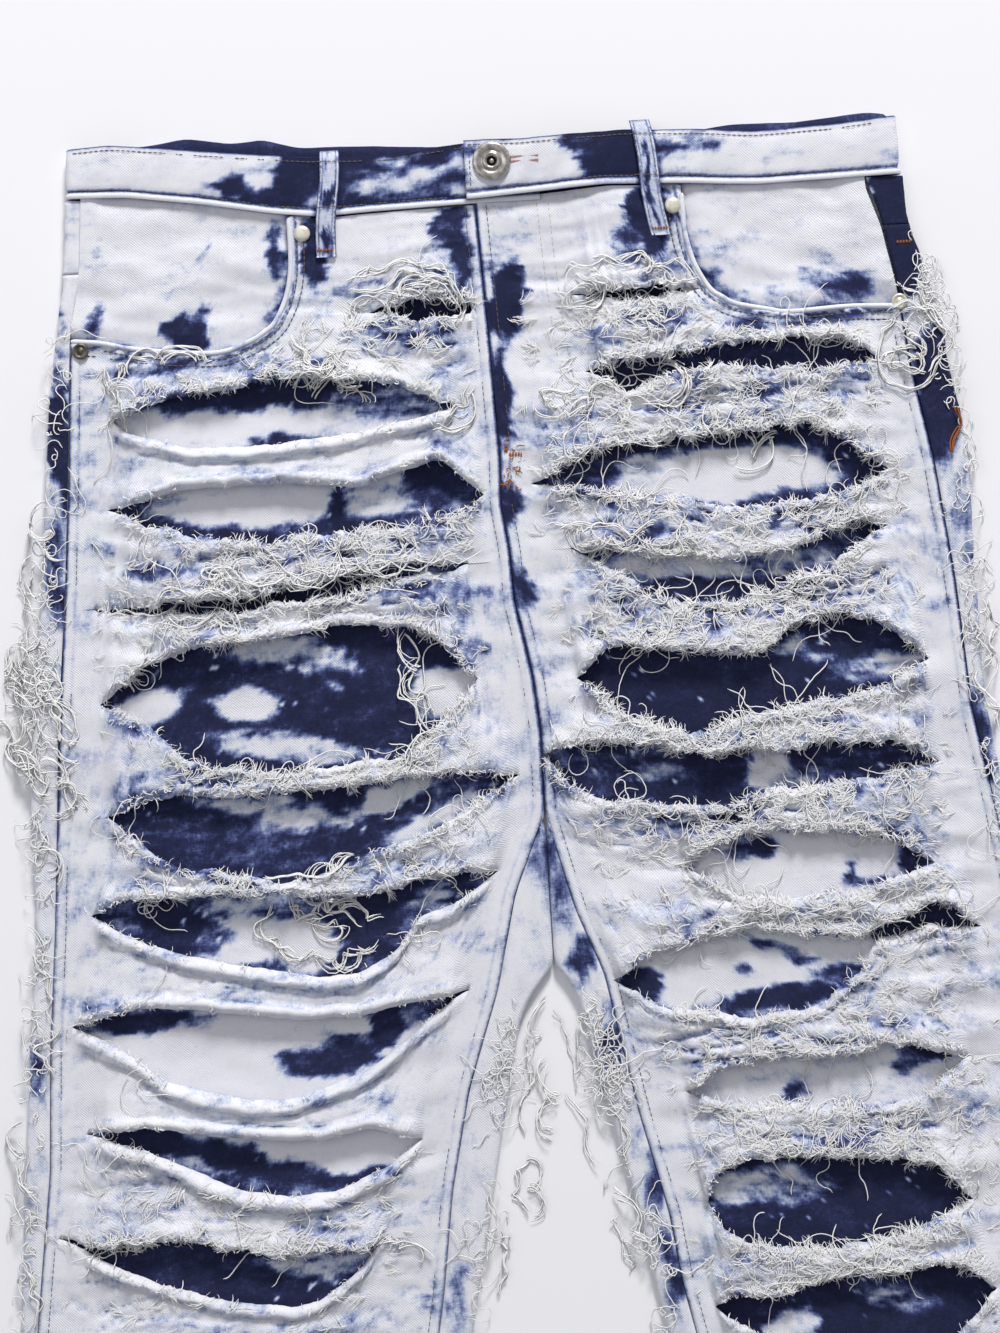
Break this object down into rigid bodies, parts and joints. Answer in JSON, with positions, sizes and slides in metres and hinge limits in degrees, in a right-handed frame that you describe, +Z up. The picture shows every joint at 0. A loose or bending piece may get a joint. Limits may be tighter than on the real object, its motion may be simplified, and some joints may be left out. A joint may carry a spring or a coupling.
{
  "type": "ripped jeans",
  "caption": "Five-pocket jeans laid flat, with slashed, frayed and bleached fronts over a whole denim layer.",
  "frame": {"origin": "centre of the underside of the laid garment's box, on the surface that it lies on", "axes": "+Y from the hems to the waist, +X to the viewer's right looking down on the front, +Z up off the surface"},
  "size_m": [0.704, 1.107, 0.0153],
  "materials": {
    "front_denim": "bleached, worn and frayed twill with navy patches",
    "backing_denim": "unfrayed twill, navy with bleached blots",
    "back_denim": "bleached worn twill, mottled blue and white",
    "trim_denim": "double stitched twill",
    "frayed_thread": "loose cotton threads, warm white",
    "button_metal": "worn plain nickel",
    "rivet_metal": "pale worn metal"
  },
  "bodies": {
    "root": {"front_panel_left": "front_denim", "front_backing_left": "backing_denim", "pocket_facing_left": "front_denim", "back_yoke_left": "back_denim", "back_panel_left": "back_denim", "back_pocket_left": "back_denim", "front_belt_loop_left": "trim_denim", "fray_outseam_left": "frayed_thread", "fray_inseam_left": "frayed_thread", "front_panel_right": "front_denim", "front_backing_right": "backing_denim", "pocket_facing_right": "front_denim", "back_yoke_right": "back_denim", "back_panel_right": "back_denim", "back_pocket_right": "back_denim", "front_belt_loop_right": "trim_denim", "fray_outseam_right": "frayed_thread", "fray_inseam_right": "frayed_thread", "back_belt_loop_left": "trim_denim", "back_belt_loop_centre": "trim_denim", "back_belt_loop_right": "trim_denim", "waistband": "trim_denim", "waist_button": "button_metal", "rivet_pocket_left": "rivet_metal", "rivet_pocket_right": "rivet_metal", "rivet_side_left": "rivet_metal", "rivet_side_right": "rivet_metal"}
  },
  "joints": []
}
